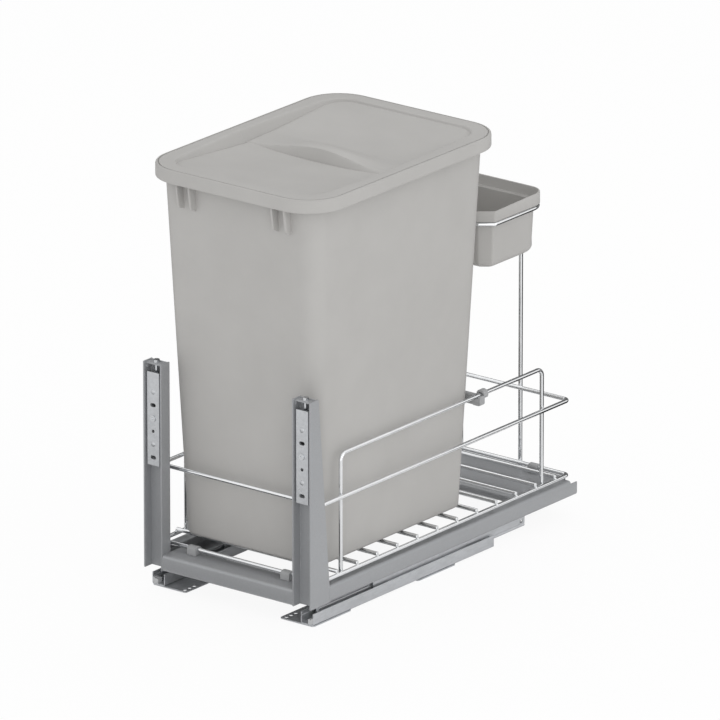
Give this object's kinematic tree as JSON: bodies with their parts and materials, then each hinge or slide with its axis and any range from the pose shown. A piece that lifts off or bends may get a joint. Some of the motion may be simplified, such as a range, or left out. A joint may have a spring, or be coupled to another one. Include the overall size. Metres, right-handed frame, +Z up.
{
  "type": "pull-out bin frame",
  "caption": "Pull-out waste bin for a base cabinet: telescopic slides, steel frame with door brackets, chrome wire basket, lidded bin and small rear tray.",
  "frame": {"origin": "on the cabinet floor, at the middle of the width and of the length of the closed unit", "axes": "+X to the right as seen from the door, +Y from the door to the back of the cabinet, +Z up"},
  "size_m": [0.2608, 0.51, 0.5156],
  "materials": {
    "zinc_steel": "zinc plated sheet",
    "bright_steel": "bright plated",
    "polished_steel": "polished",
    "painted_steel": "satin grey paint",
    "chrome_wire": "bright chrome",
    "bin_plastic": "fine satin grain",
    "clip_plastic": "moulded satin",
    "bumper_plastic": "moulded satin"
  },
  "bodies": {
    "cabinet_rails": {"left_cabinet_rail": "zinc_steel", "right_cabinet_rail": "zinc_steel", "left_front_foot": "zinc_steel", "right_front_foot": "zinc_steel", "left_rear_foot": "zinc_steel", "right_rear_foot": "zinc_steel", "left_foot_rivets": "bright_steel", "right_foot_rivets": "bright_steel", "left_bumper": "bumper_plastic", "right_bumper": "bumper_plastic"},
    "frame": {"left_runner": "zinc_steel", "right_runner": "zinc_steel", "left_runner_screws": "bright_steel", "right_runner_screws": "bright_steel", "left_side_rail": "painted_steel", "right_side_rail": "painted_steel", "left_upright": "painted_steel", "right_upright": "painted_steel", "left_adjuster_block": "zinc_steel", "right_adjuster_block": "zinc_steel", "left_adjuster_screw": "bright_steel", "right_adjuster_screw": "bright_steel", "left_hoop": "chrome_wire", "right_hoop": "chrome_wire", "front_bar": "painted_steel", "rear_plate": "painted_steel", "rim_wire": "chrome_wire", "cross_wires": "chrome_wire", "guard_wire": "chrome_wire", "tray_stand": "chrome_wire", "front_clips": "clip_plastic", "rear_clips": "clip_plastic"},
    "left_middle_rail_body": {"left_middle_rail": "zinc_steel"},
    "left_lower_cage_body": {"left_lower_cage": "bright_steel", "left_lower_balls": "polished_steel"},
    "left_upper_cage_body": {"left_upper_cage": "bright_steel", "left_upper_balls": "polished_steel"},
    "left_bracket": {"left_door_plate": "zinc_steel", "left_slider": "zinc_steel", "left_plate_rivets": "bright_steel", "left_clamp_screw": "bright_steel", "left_clamp_nut": "bright_steel"},
    "right_middle_rail_body": {"right_middle_rail": "zinc_steel"},
    "right_lower_cage_body": {"right_lower_cage": "bright_steel", "right_lower_balls": "polished_steel"},
    "right_upper_cage_body": {"right_upper_cage": "bright_steel", "right_upper_balls": "polished_steel"},
    "right_bracket": {"right_door_plate": "zinc_steel", "right_slider": "zinc_steel", "right_plate_rivets": "bright_steel", "right_clamp_screw": "bright_steel", "right_clamp_nut": "bright_steel"},
    "stop_bar_body": {"stop_bar": "clip_plastic"},
    "bin_body": {"bin": "bin_plastic"},
    "lid_body": {"lid": "bin_plastic"},
    "tray_body": {"tray": "bin_plastic"}
  },
  "joints": [
    {"name": "frame_slide", "type": "slide", "parent": "cabinet_rails", "child": "frame", "axis": [0, -1, 0], "range_m": [0, 0.36]},
    {"name": "left_middle_rail_slide", "type": "slide", "parent": "cabinet_rails", "child": "left_middle_rail_body", "axis": [0, -1, 0], "range_m": [0, 0.18]},
    {"name": "left_lower_cage_slide", "type": "slide", "parent": "cabinet_rails", "child": "left_lower_cage_body", "axis": [0, -1, 0], "range_m": [0, 0.09]},
    {"name": "left_upper_cage_slide", "type": "slide", "parent": "cabinet_rails", "child": "left_upper_cage_body", "axis": [0, -1, 0], "range_m": [0, 0.27]},
    {"name": "left_bracket_height", "type": "slide", "parent": "frame", "child": "left_bracket", "axis": [0, 0, 1], "range_m": [-0.003, 0.003]},
    {"name": "right_middle_rail_slide", "type": "slide", "parent": "cabinet_rails", "child": "right_middle_rail_body", "axis": [0, -1, 0], "range_m": [0, 0.18]},
    {"name": "right_lower_cage_slide", "type": "slide", "parent": "cabinet_rails", "child": "right_lower_cage_body", "axis": [0, -1, 0], "range_m": [0, 0.09]},
    {"name": "right_upper_cage_slide", "type": "slide", "parent": "cabinet_rails", "child": "right_upper_cage_body", "axis": [0, -1, 0], "range_m": [0, 0.27]},
    {"name": "right_bracket_height", "type": "slide", "parent": "frame", "child": "right_bracket", "axis": [0, 0, 1], "range_m": [-0.003, 0.003]},
    {"name": "stop_bar_slide", "type": "slide", "parent": "frame", "child": "stop_bar_body", "axis": [0, 1, 0], "range_m": [0, 0.085]},
    {"name": "bin_lift", "type": "slide", "parent": "frame", "child": "bin_body", "axis": [0, 0, 1], "range_m": [0, 0.25]},
    {"name": "lid_lift", "type": "slide", "parent": "bin_body", "child": "lid_body", "axis": [0, 0, 1], "range_m": [0, 0.08]},
    {"name": "tray_lift", "type": "slide", "parent": "frame", "child": "tray_body", "axis": [0, 0, 1], "range_m": [0, 0.1]}
  ],
  "couplings": [
    {"joint": "left_middle_rail_slide", "follows": "frame_slide", "ratio": 0.5},
    {"joint": "left_lower_cage_slide", "follows": "frame_slide", "ratio": 0.25},
    {"joint": "left_upper_cage_slide", "follows": "frame_slide", "ratio": 0.75},
    {"joint": "right_middle_rail_slide", "follows": "frame_slide", "ratio": 0.5},
    {"joint": "right_lower_cage_slide", "follows": "frame_slide", "ratio": 0.25},
    {"joint": "right_upper_cage_slide", "follows": "frame_slide", "ratio": 0.75}
  ]
}
